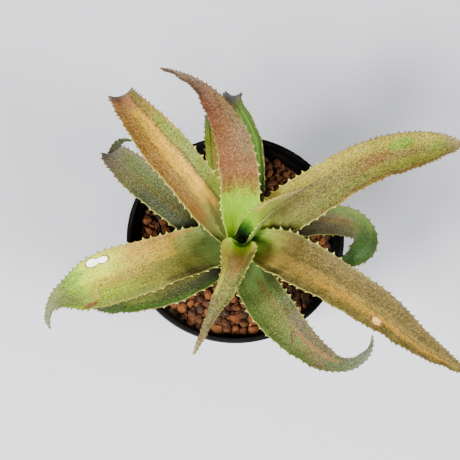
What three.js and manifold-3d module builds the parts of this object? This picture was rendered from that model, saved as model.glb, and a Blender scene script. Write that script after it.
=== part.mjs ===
// Variegated iron ore orthophytum: a spiny rosette standing in granular soil in a round nursery pot.
// Millimetres, +Z up. The origin is the middle of the pot's flat underside.

import * as THREE from 'three';
import { mergeVertices } from 'three/addons/utils/BufferGeometryUtils.js';
import Module from 'manifold-3d';

const wasm = await Module();
wasm.setup();

// pot
const potHeight = 75;
const rimRadius = 45;
const baseRadius = 27.5;
const potWall = 1.1;
const potFloor = 2;
const footRound = 1;
const lipWidth = 2;
const lipDepth = 1.2;
const lipOverhang = 0.5;
const lipRound = 0.4;
const collarHeight = 6;
const collarStep = 2;
const collarThickness = 1.4;
const potSides = 56;
const drainCount = 6;
const drainRadius = 3.5;
const drainCircle = 18.5;
const drainSides = 12;

// soil, with its level measured down from the rim
const clearance = 0.3;
const granulePitch = 4.2;
const granuleTopDepth = 4.7;
const granuleDepth = 1.7;
const granuleUnevenness = 1;
const granuleShift = 0.5;
const dipDepth = 2.8;
const dipInner = 11;
const dipOuter = 19;
const drawWaves = [127.1, 311.7, 74.7];
const drawScale = 43758.5453;

// stem: [radius, height above the rim], from its foot in the soil to its tip
const stemOutline = [[3.4, -36], [4.4, -32], [4.8, -12], [4.7, -2], [4.2, 2], [3.9, 5], [3.4, 6.4],
  [3.1, 8], [2.5, 9.6], [1.5, 11.6], [1.0, 14]];
const stemTip = 15;
const stemSides = 14;
const stemHoleRadius = 5.2;

// the middle of the rosette, a little off the middle of the pot
const plantX = 2.5;
const plantY = -5.8;

// leaves
const marginThickness = 0.7;
const footThickness = 1;
const addedThickness = 1;
const thicknessSkew = 0.85;
const fullThicknessWidth = 8;
const leastWidth = 0.5;
const openCup = 25;
const claspEnd = 0.4;
const tipCup = 8;
const leafRows = 16;
const midribSteps = 240;
const innerColumns = [-0.5, 0, 0.5];

// spines along the margins
const firstSpine = 13;
const spineRoom = 2;
const lastSpine = 3;
const spinePitchFoot = 4.8;
const spinePitchTip = 3.2;
const spineBase = 1.7;
const spineLengthFoot = 1.8;
const spineLengthTip = 0.9;
const spineLeanFoot = -0.1;
const spineLeanTip = 1.1;

// Each leaf is a walk from its foot. The foot is [direction from the rosette's middle, distance from it,
// height above the rim]. Heading and climb are in degrees, width in millimetres and roll in degrees, at
// equal steps from the foot to the tip. Clasp is half the angle of the channel where the leaf wraps the
// stem; rest is the same angle further out, where it isn't openCup.
const leaves = {
  leaf_01: {
    foot: [100, 4.3, 7.6], length: 95, clasp: 70, colour: '#a98a63',
    heading: [95, 90, 90, 95, 105, 115, 120, 130, 145, 150],
    climb: [70, 70, 65, 55, 35, 10, -5, -15, -20, -25],
    width: [12, 14, 16, 15, 14, 12, 9, 5, 2, 0.6],
    roll: [0, 0, 0, 0, 0, 0, -5, -10, -10, -10],
  },
  leaf_02: {
    foot: [132, 5, 6.1], length: 118, clasp: 50, colour: '#b79b6a',
    heading: [145, 140, 135, 135, 130, 125, 125, 115, 115, 120, 120],
    climb: [50, 50, 50, 30, 10, -10, -20, -40, -80, -100, -105],
    width: [13, 16, 18, 18, 18, 16, 13, 10, 9, 5, 0.6],
  },
  leaf_03: {
    foot: [160, 5.5, -1.4], length: 92, clasp: 38, colour: '#7f8a63',
    heading: [155, 155, 150, 145, 145, 140, 135, 130, 95, 80, -20],
    climb: [45, 40, 35, 20, 10, 0, -10, -30, -85, -15, 10],
    width: [12, 14, 15, 16, 16, 15, 13, 10, 5, 3.5, 0.6],
  },
  leaf_04: {
    foot: [196, 5, 3], length: 104, clasp: 48, colour: '#a9a263',
    heading: [185, 205, 210, 205, 200, 195, 190, 190, 225, 300],
    climb: [55, 45, 35, 25, 5, -15, -30, -40, -55, -55],
    width: [12, 18, 20, 20, 21, 22, 19, 10, 3, 0.6],
  },
  leaf_05: {
    foot: [216, 5.6, -5], length: 85, clasp: 40, colour: '#6f8a52',
    heading: [205, 215, 215, 205, 190, 180, 170, 150, 125],
    climb: [45, 35, 25, 10, -15, -35, -55, -75, -90],
    width: [11, 14, 16, 16, 15, 13, 10, 5, 0.6],
  },
  leaf_06: {
    foot: [262, 3.4, 13.5], length: 66, clasp: 76, colour: '#a9a872',
    heading: [260, 260, 260, 255, 245, 240, 240, 235],
    climb: [68, 58, 50, 30, 5, -25, -40, -50],
    width: [11, 15, 13, 9, 7, 4, 2, 0.6],
  },
  leaf_07: {
    foot: [290, 5.4, -0.7], length: 90, clasp: 40, colour: '#8f9560',
    heading: [280, 285, 290, 300, 310, 320, 335, 355, 400, 450],
    climb: [60, 45, 30, 15, 0, -20, -30, -15, 20, 55],
    width: [12, 14, 16, 17, 16, 13, 10, 6, 4, 0.6],
    roll: [0, 0, 0, 0, 0, 0, -5, -35, -55, -60],
  },
  leaf_08: {
    foot: [335, 4.1, 6.2], length: 116, clasp: 66, colour: '#a8946a',
    heading: [330, 320, 320, 325, 325, 330, 325, 330, 335, 335],
    climb: [65, 55, 40, 25, 5, -10, -20, -25, -25, -25],
    width: [14, 17, 20, 19, 17, 16, 14, 10, 6, 0.6],
  },
  leaf_09: {
    foot: [26, 5.1, 2.1], length: 106, clasp: 46, colour: '#a59c66',
    heading: [45, 25, 20, 25, 30, 25, 20, 20, 15, 10],
    climb: [50, 50, 45, 30, 15, 0, -10, -15, -15, -20],
    width: [11, 17, 19, 19, 18, 17, 17, 15, 10, 0.6],
  },
  leaf_10: {
    foot: [46, 2.2, 11.6], length: 58, clasp: 92, rest: 45, colour: '#b3a56f',
    heading: [40, 20, 10, 5, 5, 15, 25, 30],
    climb: [70, 70, 75, 70, 60, 40, 10, -10],
    width: [9, 10, 9, 7, 5, 3, 1, 0.6],
  },
  leaf_11: {
    foot: [79, 5.4, 0.6], length: 94, clasp: 40, rest: 32, colour: '#86975a',
    heading: [80, 75, 80, 95, 115, 110, 95, 80, 70],
    climb: [35, 35, 35, 20, 0, -30, -55, -70, -80],
    width: [11, 10, 10, 11, 9, 7, 7, 5, 0.6],
    roll: [0, 5, 25, 50, 50, 30, 0, 0, 0],
  },
  leaf_12: {
    foot: [6, 6, -3.5], length: 76, clasp: 36, colour: '#8c8a66',
    heading: [30, 30, 20, 5, 0, -5, -35, -95, -160, -180],
    climb: [45, 40, 25, 15, 0, -20, -50, -60, -30, -10],
    width: [11, 13, 13, 13, 13, 12, 11, 11, 7, 0.6],
  },
  leaf_13: {
    foot: [112, 5.6, -4], length: 75, clasp: 36, colour: '#7f9458',
    heading: [100, 105, 110, 100, 95, 95, 90, 80],
    climb: [35, 35, 30, 15, -10, -35, -55, -70],
    width: [9, 10, 10, 9, 8, 7, 5, 0.6],
  },
};

const radians = THREE.MathUtils.degToRad;
const lerp = THREE.MathUtils.lerp;

// solids for boolean cuts

function solidOf(geometry) {
  const bare = geometry.clone();
  bare.deleteAttribute('normal');
  bare.deleteAttribute('uv');
  const merged = mergeVertices(bare);
  return new wasm.Manifold(new wasm.Mesh({
    numProp: 3,
    vertProperties: new Float32Array(merged.attributes.position.array),
    triVerts: new Uint32Array(merged.index.array),
  }));
}

function geometryOf(solid) {
  const mesh = solid.getMesh();
  const geometry = new THREE.BufferGeometry();
  geometry.setAttribute('position', new THREE.Float32BufferAttribute(mesh.vertProperties, 3));
  geometry.setIndex(new THREE.Uint32BufferAttribute(mesh.triVerts, 1));
  geometry.computeVertexNormals();
  return geometry;
}

// a body turned round +Z from [radius, height] points
function turned(outline, sides) {
  const profile = outline.map(([radius, height]) => new THREE.Vector2(radius, height));
  return new THREE.LatheGeometry(profile, sides).rotateX(Math.PI / 2);
}

// An upright cylinder between two heights
function rod(radius, low, high, sides) {
  return turned([[0, low], [radius, low], [radius, high], [0, high]], sides);
}

// A closed body from a sheet of triangles: points above, points below and walls round the sheet's edge.
// Where a point has none below it, the body closes to a point there.
function sheetBody(above, below, triangles) {
  const points = [...above];
  const under = below.map((point, index) => (point ? points.push(point) - 1 : index));
  const index = [];
  const edges = new Set();
  for (const [a, b, c] of triangles) {
    index.push(a, b, c, under[a], under[c], under[b]);
    edges.add(`${a} ${b}`).add(`${b} ${c}`).add(`${c} ${a}`);
  }
  for (const edge of edges) {
    const [a, b] = edge.split(' ').map(Number);
    if (edges.has(`${b} ${a}`)) continue;
    if (under[a] !== a) index.push(a, under[a], under[b]);
    if (under[b] !== b) index.push(a, under[b], b);
  }
  const geometry = new THREE.BufferGeometry().setFromPoints(points);
  geometry.setIndex(index);
  geometry.computeVertexNormals();
  return geometry;
}

// pot: a tapered wall with a stepped collar, a rolled lip and drainage holes round its floor

const collarFoot = potHeight - collarHeight;
const neckRadius = rimRadius - lipWidth - collarStep;
const neckTop = collarFoot + lipRound;

function potGeometry() {
  const collarRadius = rimRadius - lipOverhang;
  const innerRadius = rimRadius - lipWidth;
  const outline = [
    [0, 0],
    [baseRadius - footRound, 0],
    [baseRadius, footRound],
    [neckRadius + potWall, collarFoot - footRound],
    [collarRadius, collarFoot],
    [collarRadius, potHeight - lipDepth],
    [rimRadius, potHeight - lipDepth + lipRound],
    [rimRadius, potHeight - lipRound],
    [rimRadius - lipRound, potHeight],
    [innerRadius + lipRound, potHeight],
    [innerRadius, potHeight - lipRound],
    [collarRadius - collarThickness - lipRound, collarFoot + collarThickness],
    [neckRadius, neckTop],
    [baseRadius - potWall, potFloor],
    [0, potFloor],
  ];
  let pot = solidOf(turned(outline, potSides));
  for (let hole = 0; hole < drainCount; hole++) {
    const turn = (hole + 0.5) * 2 * Math.PI / drainCount;
    const drill = rod(drainRadius, -1, potFloor + 1, drainSides);
    drill.translate(drainCircle * Math.cos(turn), drainCircle * Math.sin(turn), 0);
    pot = pot.subtract(solidOf(drill));
  }
  return geometryOf(pot);
}

// soil: it fills the pot, and its granules stand up as a relief on a jittered triangular lattice

// a repeatable draw between 0 and 1 for each place on the lattice
function draw(column, row, kind) {
  const wave = column * drawWaves[0] + row * drawWaves[1] + kind * drawWaves[2];
  const value = Math.sin(wave) * drawScale;
  return value - Math.floor(value);
}

function reliefPoint(column, row) {
  const pitch = granulePitch / Math.sqrt(3);
  const x = pitch * (column + row / 2) + granuleShift * (draw(column, row, 1) - 0.5) * 2;
  const y = pitch * row * Math.sqrt(3) / 2 + granuleShift * (draw(column, row, 2) - 0.5) * 2;
  const isTop = (((column - row) % 3) + 3) % 3 === 0;
  const fromStem = Math.hypot(x - plantX, y - plantY);
  const dip = dipDepth * (1 - THREE.MathUtils.smoothstep(fromStem, dipInner, dipOuter));
  const level = potHeight - granuleTopDepth - (isTop ? 0 : granuleDepth);
  const unevenness = granuleUnevenness * (draw(column, row, 3) - 0.5);
  return new THREE.Vector3(x, y, level - dip + unevenness);
}

function reliefSlab() {
  const reach = Math.ceil(rimRadius / granulePitch * 2);
  const count = 2 * reach + 1;
  const above = [];
  const triangles = [];
  for (let row = 0; row < count; row++) {
    for (let column = 0; column < count; column++) {
      above.push(reliefPoint(column - reach, row - reach));
      if (row === 0 || column === 0) continue;
      const corner = row * count + column;
      triangles.push([corner - count - 1, corner - count, corner - 1]);
      triangles.push([corner - count, corner, corner - 1]);
    }
  }
  const below = above.map((point) => new THREE.Vector3(point.x, point.y, 0));
  return sheetBody(above, below, triangles);
}

function soilGeometry() {
  const bottom = potFloor + clearance;
  const filling = turned([
    [0, bottom],
    [baseRadius - potWall - clearance, bottom],
    [neckRadius - clearance, neckTop],
    [neckRadius - clearance, potHeight],
    [0, potHeight],
  ], potSides);
  const stemFoot = potHeight + stemOutline[0][1];
  const hole = rod(stemHoleRadius, stemFoot - clearance, potHeight, stemSides).translate(plantX, plantY, 0);
  return geometryOf(solidOf(filling).intersect(solidOf(reliefSlab())).subtract(solidOf(hole)));
}

// stem: it stands in the hole in the soil, and the leaf feet clasp it

function stemGeometry() {
  const outline = stemOutline.map(([radius, height]) => [radius, potHeight + height]);
  outline.unshift([0, outline[0][1]]);
  outline.push([0, potHeight + stemTip]);
  return turned(outline, stemSides).translate(plantX, plantY, 0);
}

// leaves

// a smooth curve through values at equal steps, the ends mirrored
function smoothThrough(values, along) {
  const last = values.length - 1;
  const place = THREE.MathUtils.clamp(along, 0, 1) * last;
  const step = Math.min(Math.floor(place), last - 1);
  const f = place - step;
  const b = values[step];
  const c = values[step + 1];
  const a = step > 0 ? values[step - 1] : 2 * b - c;
  const d = step + 2 <= last ? values[step + 2] : 2 * c - b;
  const squared = 2 * a - 5 * b + 4 * c - d;
  const cubed = 3 * b - a - 3 * c + d;
  return (2 * b + (c - a) * f + squared * f ** 2 + cubed * f ** 3) / 2;
}

function directionOf(leaf, along) {
  const heading = radians(smoothThrough(leaf.heading, along));
  const climb = radians(smoothThrough(leaf.climb, along));
  const level = new THREE.Vector3(Math.cos(heading), Math.sin(heading), 0);
  const forward = level.clone().multiplyScalar(Math.cos(climb)).setZ(Math.sin(climb));
  const up = level.multiplyScalar(-Math.sin(climb)).setZ(Math.cos(climb));
  return { forward, up };
}

function midribOf(leaf) {
  const [turn, distance, height] = leaf.foot;
  const footX = plantX + distance * Math.cos(radians(turn));
  const footY = plantY + distance * Math.sin(radians(turn));
  const points = [new THREE.Vector3(footX, footY, potHeight + height)];
  for (let step = 0; step < midribSteps; step++) {
    const { forward } = directionOf(leaf, (step + 0.5) / midribSteps);
    points.push(points[step].clone().addScaledVector(forward, leaf.length / midribSteps));
  }
  return points;
}

// The blade's surface: along runs from 0 at the foot to 1 at the tip, across from -1 to 1, and each section
// is a circular arc as long as the blade is wide. Gives the points above and below, and the way outwards.
function surfaceAt(leaf, midrib, along, across) {
  const place = along * midribSteps;
  const step = Math.min(Math.floor(place), midribSteps - 1);
  const centre = midrib[step].clone().lerp(midrib[step + 1], place - step);
  const { forward, up } = directionOf(leaf, along);
  const side = forward.clone().cross(up);
  const roll = radians(leaf.roll ? smoothThrough(leaf.roll, along) : 0);
  up.applyAxisAngle(forward, -roll);
  side.applyAxisAngle(forward, -roll);
  const width = Math.max(smoothThrough(leaf.width, along), leastWidth);
  const rest = leaf.rest ?? openCup;
  const cup = radians(rest + (leaf.clasp - rest) * Math.max(0, 1 - along / claspEnd) + tipCup * along);
  const radius = width / 2 / cup;
  const turn = cup * across;
  const above = centre.addScaledVector(side, radius * Math.sin(turn));
  above.addScaledVector(up, radius * (1 - Math.cos(turn)));
  const normal = up.clone().multiplyScalar(Math.cos(turn)).addScaledVector(side, -Math.sin(turn));
  const outwards = side.multiplyScalar(Math.cos(turn)).addScaledVector(up, Math.sin(turn));
  const middle = footThickness + addedThickness * Math.sin(Math.PI * along ** thicknessSkew);
  const bulge = (1 - across ** 2) * Math.min(1, width / fullThicknessWidth);
  const thickness = lerp(marginThickness, middle, bulge);
  const below = above.clone().addScaledVector(normal, -thickness);
  return { above, below, forward, outwards };
}

// where the spines stand along a leaf, as fractions of its length
function spinePlaces(leaf) {
  const places = [];
  let distance = firstSpine;
  while (distance < leaf.length - lastSpine) {
    places.push(distance / leaf.length);
    distance += lerp(spinePitchFoot, spinePitchTip, distance / leaf.length);
  }
  return places;
}

function leafGeometry(leaf) {
  const midrib = midribOf(leaf);
  const above = [];
  const below = [];
  const triangles = [];

  function addPoint(along, across) {
    const place = surfaceAt(leaf, midrib, along, across);
    below.push(place.below);
    return above.push(place.above) - 1;
  }

  // a corner where the points above and below meet
  function addCorner(point) {
    below.push(null);
    return above.push(point) - 1;
  }

  const tip = surfaceAt(leaf, midrib, 1, 0);
  const tipCorner = addCorner(tip.above.clone().lerp(tip.below, 0.5));
  const columns = innerColumns.map((across) => {
    const column = [];
    for (let row = 0; row < leafRows; row++) {
      column.push({ along: row / leafRows, index: addPoint(row / leafRows, across) });
    }
    return [...column, { along: 1, index: tipCorner }];
  });

  function addSpine(along, across, before, after) {
    const { above: top, below: bottom, forward, outwards } = surfaceAt(leaf, midrib, along, across);
    const length = lerp(spineLengthFoot, spineLengthTip, along);
    const point = top.clone().lerp(bottom, 0.5).addScaledVector(outwards, across * length);
    point.addScaledVector(forward, length * lerp(spineLeanFoot, spineLeanTip, along));
    const corner = addCorner(point);
    triangles.push(across > 0 ? [before, corner, after] : [after, corner, before]);
  }

  // the margin's points: the sheath's rows, then both sides of each spine
  function marginOf(across) {
    const margin = [];
    const places = spinePlaces(leaf);
    for (let row = 0; row / leafRows * leaf.length < firstSpine - spineRoom; row++) {
      margin.push({ along: row / leafRows, index: addPoint(row / leafRows, across) });
    }
    for (const place of places) {
      const half = spineBase / 2 / leaf.length;
      const before = { along: place - half, index: addPoint(place - half, across) };
      const after = { along: place + half, index: addPoint(place + half, across) };
      margin.push(before, after);
      addSpine(place, across, before.index, after.index);
    }
    return [...margin, { along: 1, index: tipCorner }];
  }

  // fills the strip between two lines of points that both run from the foot to the tip
  function fillStrip(left, right) {
    let l = 0;
    let r = 0;
    while (l < left.length - 1 || r < right.length - 1) {
      const nextLeft = left[l + 1]?.along ?? Infinity;
      const nextRight = right[r + 1]?.along ?? Infinity;
      const isLeft = nextLeft <= nextRight;
      const from = [left[l].index, right[r].index];
      const next = isLeft ? left[++l].index : right[++r].index;
      if (!from.includes(next)) triangles.push([...from, next]);
    }
  }

  const lines = [marginOf(-1), ...columns, marginOf(1)];
  for (let line = 1; line < lines.length; line++) fillStrip(lines[line - 1], lines[line]);
  return sheetBody(above, below, triangles);
}

// the object

const group = new THREE.Group();

function addPiece(name, geometry, color, roughness) {
  const material = new THREE.MeshStandardMaterial({ color, roughness, metalness: 0 });
  const mesh = new THREE.Mesh(geometry, material);
  mesh.name = name;
  group.add(mesh);
}

addPiece('pot', potGeometry(), '#1c1c1d', 0.4);
addPiece('soil', soilGeometry(), '#6b4433', 0.95);
addPiece('stem', stemGeometry(), '#9aa35a', 0.7);
for (const [name, leaf] of Object.entries(leaves)) addPiece(name, leafGeometry(leaf), leaf.colour, 0.6);

export default group;
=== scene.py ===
import math

import bmesh
import bpy
import numpy as np
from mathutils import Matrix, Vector


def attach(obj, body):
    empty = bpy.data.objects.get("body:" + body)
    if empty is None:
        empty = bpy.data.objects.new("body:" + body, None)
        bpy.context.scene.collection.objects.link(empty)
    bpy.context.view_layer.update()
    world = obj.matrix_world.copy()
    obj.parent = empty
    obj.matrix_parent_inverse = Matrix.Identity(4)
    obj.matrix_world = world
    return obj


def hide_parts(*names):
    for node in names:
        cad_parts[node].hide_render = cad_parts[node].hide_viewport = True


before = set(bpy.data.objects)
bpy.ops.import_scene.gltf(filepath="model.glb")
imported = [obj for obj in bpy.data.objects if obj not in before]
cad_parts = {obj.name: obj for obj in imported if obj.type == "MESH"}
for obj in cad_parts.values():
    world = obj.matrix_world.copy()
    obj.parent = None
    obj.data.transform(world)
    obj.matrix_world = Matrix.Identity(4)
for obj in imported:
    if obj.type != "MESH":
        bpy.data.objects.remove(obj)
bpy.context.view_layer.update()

# Everything is worked out in millimetres and put into the meshes in metres.
mm = 0.001
anyTurn = 6.3  # radians, the reach of a random turn or phase
print("frame loaded,", len(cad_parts), "nodes")

# camera and light

cameraPlan = {
    "target": (0, 0, 75),  # the middle of the pot's rim
    "distance": 450,
    "elevation": 71.7,  # degrees above the horizontal
    "focal": 1089,  # in pixels of the picture
    "picture": 460,  # the picture's side in pixels
    "targetPixel": (235.3, 236.0),  # where the rim's middle falls in the picture
}

lightPlan = {
    "worldStrength": 0.1,
    "worldColour": (0.94, 0.96, 1.0),
    "lampColour": (1.0, 0.985, 0.965),
    "lamps": [
        # name, place in metres, size in metres, watts
        ("left", (-0.75, -0.6, 0.95), 0.42, 46),
        ("right", (0.8, -0.55, 0.95), 0.5, 33),
        ("front", (-0.3, -0.8, 1.15), 0.4, 24),
    ],
}


def addAimed(name, data, place, direction):
    # a camera or a lamp at a place in metres, looking along a direction
    holder = bpy.data.objects.new(name, data)
    holder.location = place
    holder.rotation_euler = direction.to_track_quat("-Z", "Y").to_euler()
    bpy.context.scene.collection.objects.link(holder)
    return holder


def addCamera():
    # The eye stands back from the target along the view, and aside so that the target falls on its pixel.
    plan = cameraPlan
    tilt = math.radians(plan["elevation"])
    view = Vector((0, math.cos(tilt), -math.sin(tilt)))
    right = Vector((1, 0, 0))
    up = right.cross(view)
    across, down = [(pixel - plan["picture"] / 2) / plan["focal"] for pixel in plan["targetPixel"]]
    eye = Vector(plan["target"]) - plan["distance"] * (view + right * across - up * down)
    lens = bpy.data.cameras.new("camera")
    lens.sensor_width = 36
    lens.lens = lens.sensor_width * plan["focal"] / plan["picture"]
    lens.clip_start = 0.01
    bpy.context.scene.camera = addAimed("camera", lens, eye * mm, view)


def addLights():
    world = bpy.data.worlds.new("studio")
    bpy.context.scene.world = world
    world.use_nodes = True
    background = world.node_tree.nodes["Background"]
    background.inputs["Color"].default_value = (*lightPlan["worldColour"], 1)
    background.inputs["Strength"].default_value = lightPlan["worldStrength"]
    aim = Vector(cameraPlan["target"]) * mm
    for name, place, size, watts in lightPlan["lamps"]:
        lamp = bpy.data.lights.new(name, "AREA")
        lamp.shape = "DISK"
        lamp.size = size
        lamp.energy = watts
        lamp.color = lightPlan["lampColour"]
        addAimed(name, lamp, place, aim - Vector(place))


# meshes

def addPiece(name, points, faces, materialSlot=None, attributes=None):
    # a smooth mesh from arrays, with one value or vector a point for each named attribute
    mesh = bpy.data.meshes.new(name)
    mesh.from_pydata((np.asarray(points) * mm).tolist(), [], faces)
    for title, data in (attributes or {}).items():
        data = np.asarray(data, np.float32)
        kind, key = ("FLOAT", "value") if data.ndim == 1 else ("FLOAT_VECTOR", "vector")
        layer = mesh.attributes.new(title, kind, "POINT")
        layer.data.foreach_set(key, data.ravel())
    mesh.shade_smooth()
    mesh.validate()
    piece = bpy.data.objects.new(name, mesh)
    bpy.context.scene.collection.objects.link(piece)
    if materialSlot:
        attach(piece, "root")
    return piece


def closedFaces(rows, columns):
    # Four-sided faces between neighbouring rows of a grid whose rows are closed rings, then a fan from the
    # first row to the point after the grid, and one from the last row to the point after that.
    row, column = np.meshgrid(np.arange(rows - 1), np.arange(columns), indexing="ij")
    following = (column + 1) % columns
    corners = [row * columns + column, row * columns + following,
               (row + 1) * columns + following, (row + 1) * columns + column]
    faces = np.stack(corners, -1).reshape(-1, 4).tolist()
    step = np.arange(columns)
    following = (step + 1) % columns
    last = (rows - 1) * columns
    end = np.full(columns, rows * columns)
    faces += np.stack([following, step, end], -1).tolist()
    faces += np.stack([last + step, last + following, end + 1], -1).tolist()
    return faces


def turnedShape(outline, sides, middle=(0, 0)):
    # Every outline point (radius, height) goes round the upright axis through middle. The outline starts
    # and ends on the axis, where it closes to single points.
    outline = np.asarray(outline, float)
    turn = np.arange(sides) * 2 * np.pi / sides
    rings = outline[1:-1]
    x = middle[0] + rings[:, :1] * np.cos(turn)
    y = middle[1] + rings[:, :1] * np.sin(turn)
    z = np.repeat(rings[:, 1:], sides, axis=1)
    points = np.stack([x, y, z], -1).reshape(-1, 3)
    ends = [[*middle, outline[0, 1]], [*middle, outline[-1, 1]]]
    return np.vstack([points, ends]), closedFaces(len(rings), sides)


def cutAway(piece, shapes):
    # takes closed shapes out of a piece, and leaves no modifier or cutter behind
    cutters = [addPiece(f"cutter{number}", *shape) for number, shape in enumerate(shapes)]
    for cutter in cutters:
        cut = piece.modifiers.new("cut", "BOOLEAN")
        cut.object = cutter
        cut.solver = "EXACT"
    graph = bpy.context.evaluated_depsgraph_get()
    result = bpy.data.meshes.new_from_object(piece.evaluated_get(graph))
    piece.modifiers.clear()
    old = piece.data
    piece.data = result
    bpy.data.meshes.remove(old)
    for cutter in cutters:
        bpy.data.objects.remove(cutter)


# shader helpers

lookPlan = {
    "light": 2.9,  # how much light falls on a leaf, where 1 leaves a white surface just white
    "veil": 0.025,  # light that the surface mirrors over its own colour
    # doublings of light, as the factors of the shown brightness's powers 0 to 3
    "curve": (-6.9, 14.3, -15.2, 10.5),
    "deepen": 0.105,  # how fast a colour moves away from grey as it gets brighter
    "deepenAbove": 0.45,  # the shown brightness from which it does
    "darkest": 0.004,
}


def paint(code, veil=lookPlan["veil"]):
    # A colour as the photo shows it, as the linear colour that looks so here. Blender's own view lifts and
    # washes out colours, so each part goes back through its curve, and bright colours are made deeper.
    plan = lookPlan
    shown = np.array([int(code[place:place + 2], 16) for place in (1, 3, 5)]) / 255
    linear = 2 ** sum(factor * shown ** power for power, factor in enumerate(plan["curve"]))
    deeper = plan["deepen"] * max(0, shown.max() - plan["deepenAbove"])
    linear = linear + deeper * (3 * linear - linear.sum()) - veil
    return (*np.clip(linear / plan["light"], plan["darkest"], 1), 1)


def feed(tree, inputs, entries):
    # gives each named input its value, by a link where the value comes from another node
    for key, value in entries.items():
        if isinstance(value, bpy.types.NodeSocket):
            tree.links.new(value, inputs[key])
        else:
            inputs[key].default_value = value


def addNode(tree, kind, entries, **settings):
    node = tree.nodes.new("ShaderNode" + kind)
    for name, value in settings.items():
        setattr(node, name, value)
    feed(tree, node.inputs, entries)
    return node


def calculate(tree, operation, *values):
    return addNode(tree, "Math", dict(enumerate(values)), operation=operation).outputs[0]


def times(tree, first, second):
    return calculate(tree, "MULTIPLY", first, second)


def plus(tree, start, value, factor):
    # start + value · factor
    return calculate(tree, "MULTIPLY_ADD", value, factor, start)


def ease(tree, value, start, end, low=0.0, high=1.0):
    # low before start, high after end, and a smooth step between them
    entries = dict(enumerate((value, start, end, low, high)))
    return addNode(tree, "MapRange", entries, interpolation_type="SMOOTHSTEP").outputs[0]


def blendColours(tree, share, first, second):
    # the first colour where share is 0, and the second where it is 1
    return addNode(tree, "Mix", {0: share, 6: first, 7: second}, data_type="RGBA").outputs[2]


def noise(tree, vector, scale, detail=2.0, roughness=0.5, stretch=(1, 1, 1)):
    # smooth noise between about 0.2 and 0.8, with its own scale along each axis
    stretched = addNode(tree, "Mapping", {"Vector": vector, "Scale": stretch}).outputs[0]
    return addNode(tree, "TexNoise", {"Vector": stretched, "Scale": scale, "Detail": detail,
                                      "Roughness": roughness}).outputs[0]


def evenNoise(tree, *values):
    # the same noise, as much below nothing as above it
    return calculate(tree, "SUBTRACT", noise(tree, *values), 0.5)


def attribute(tree, name, output="Fac"):
    return addNode(tree, "Attribute", {}, attribute_name=name).outputs[output]


def colourRamp(tree, share, stops):
    # the colours of (place from 0 to 1, colour) stops, with straight blends between them
    ramp = addNode(tree, "ValToRGB", {0: share})
    elements = ramp.color_ramp.elements
    for index, (place, colour) in enumerate(stops):
        stop = elements[index] if index < 2 else elements.new(place)
        stop.position = place
        stop.color = colour
    return ramp.outputs[0]


def bump(tree, height, distance, strength):
    entries = {"Strength": strength, "Distance": distance * mm, "Height": height}
    return addNode(tree, "Bump", entries).outputs[0]


socketKinds = {"colours": "NodeSocketColor", "values": "NodeSocketFloat", "vectors": "NodeSocketVector"}


def newGroup(name, inputs, outputs):
    # a node group, with what comes into it and what it puts out by name
    group = bpy.data.node_groups.new(name, "ShaderNodeTree")
    for way, sockets in (("INPUT", inputs), ("OUTPUT", outputs)):
        for kind, titles in sockets.items():
            for title in titles:
                group.interface.new_socket(title, in_out=way, socket_type=socketKinds[kind])
    given = group.nodes.new("NodeGroupInput").outputs
    put = group.nodes.new("NodeGroupOutput").inputs
    return group, given, put


def useGroup(tree, group, entries):
    return addNode(tree, "Group", entries, node_tree=group).outputs


def objectPlace(tree):
    return addNode(tree, "TexCoord", {}).outputs["Object"]


def addMaterial(piece, name):
    # a new material on a piece, as its node tree and its shader's inputs
    material = bpy.data.materials.new(name)
    material.use_nodes = True
    piece.data.materials.append(material)
    tree = material.node_tree
    return tree, tree.nodes["Principled BSDF"].inputs


def dress(tree, inputs, colour, rough, gloss, normal):
    feed(tree, inputs, {"Base Color": colour, "Roughness": rough, "Specular IOR Level": gloss,
                        "Normal": normal})


# dust: pale specks and a soft film, thickest in the hollows of a slow noise

dustPlan = {
    # a noise has its scale, detail and roughness, and an edge is where a mask starts and where it is full
    "film": (90, 3, 0.6),
    "filmEdge": (0.45, 0.75),
    "specks": (1500, 1, 0.5),
    "speckEdge": (0.66, 0.72),
}


def dustGroup():
    plan = dustPlan
    group, given, put = newGroup("dust", {"colours": ["Colour", "Dust"], "vectors": ["Place"],
                                          "values": ["Film", "Specks"]},
                                 {"colours": ["Colour"], "values": ["Mask"]})
    film = ease(group, noise(group, given["Place"], *plan["film"]), *plan["filmEdge"])
    specks = ease(group, noise(group, given["Place"], *plan["specks"]), *plan["speckEdge"])
    film, specks = times(group, film, given["Film"]), times(group, specks, given["Specks"])
    mask = calculate(group, "MAXIMUM", film, specks)
    feed(group, put, {"Mask": mask, "Colour": blendColours(group, mask, given["Colour"], given["Dust"])})
    return group


dust = dustGroup()

# pot: a thin tapered wall with a stepped collar, a rolled lip, fine rings inside and drainage holes

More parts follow.
